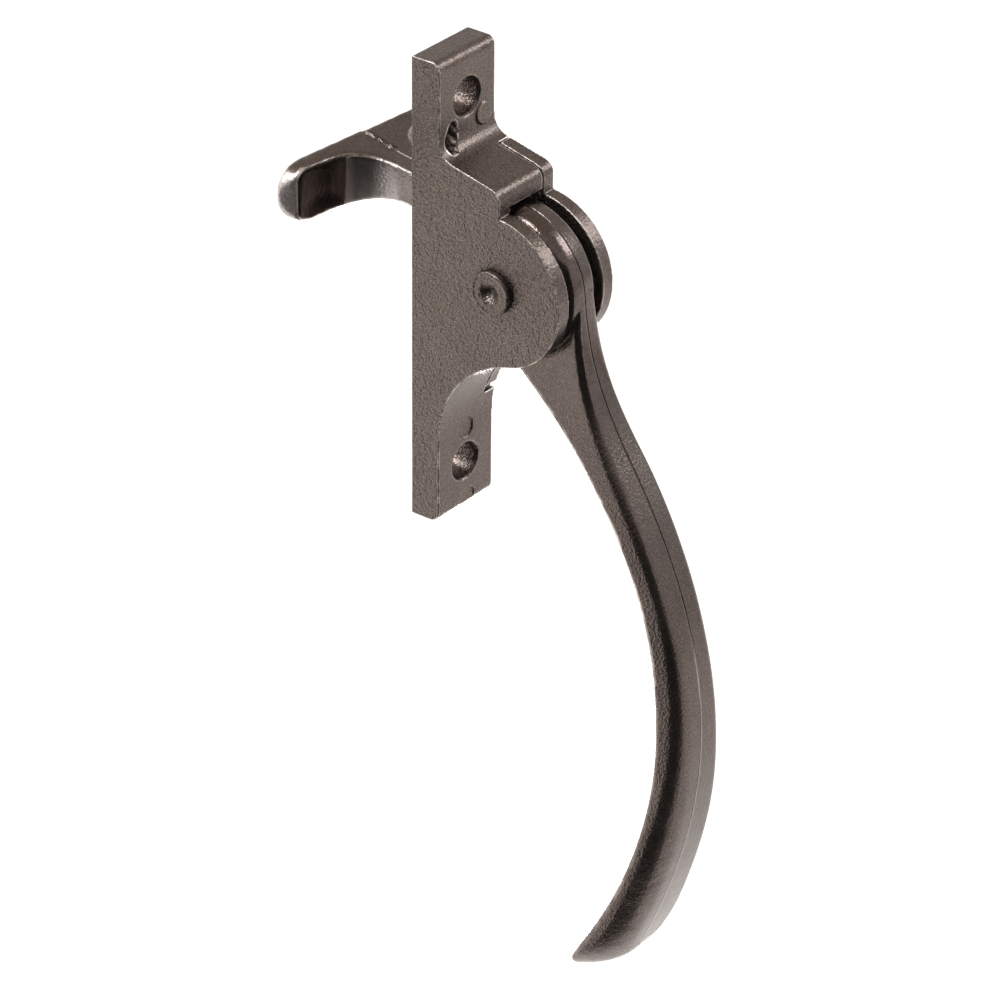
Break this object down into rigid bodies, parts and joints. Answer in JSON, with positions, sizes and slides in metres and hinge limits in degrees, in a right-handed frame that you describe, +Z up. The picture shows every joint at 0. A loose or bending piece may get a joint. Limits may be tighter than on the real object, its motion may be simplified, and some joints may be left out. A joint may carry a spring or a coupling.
{
  "type": "casement window fastener",
  "caption": "Cast casement window fastener: a narrow screwed flange with a forked housing, and a pivoting T-headed lever with a long curved handle.",
  "frame": {"origin": "on the flange's back face, half way between the two screw holes and half way across its width", "axes": "+Z up along the flange, towards the block above the pivot; -Y out into the room, so the flange's back face looks along +Y; +X to the right of someone facing the window from the room"},
  "size_m": [0.0364, 0.0659, 0.1452],
  "materials": {
    "powder_coat": "semi-gloss bronze powder coat with a fine leathery grain",
    "spring_steel": "dull bare spring steel"
  },
  "bodies": {
    "housing": {"base_casting": "powder_coat", "side_plate": "powder_coat", "pivot_rivet": "powder_coat", "spring_washer": "spring_steel"},
    "lever": {"lever": "powder_coat"}
  },
  "joints": [
    {"name": "lever_pivot", "type": "hinge", "parent": "housing", "child": "lever", "pos_m": [0, -0.0151, 0.0044], "axis": [-1, 0, 0], "range_deg": [0, 60]}
  ]
}
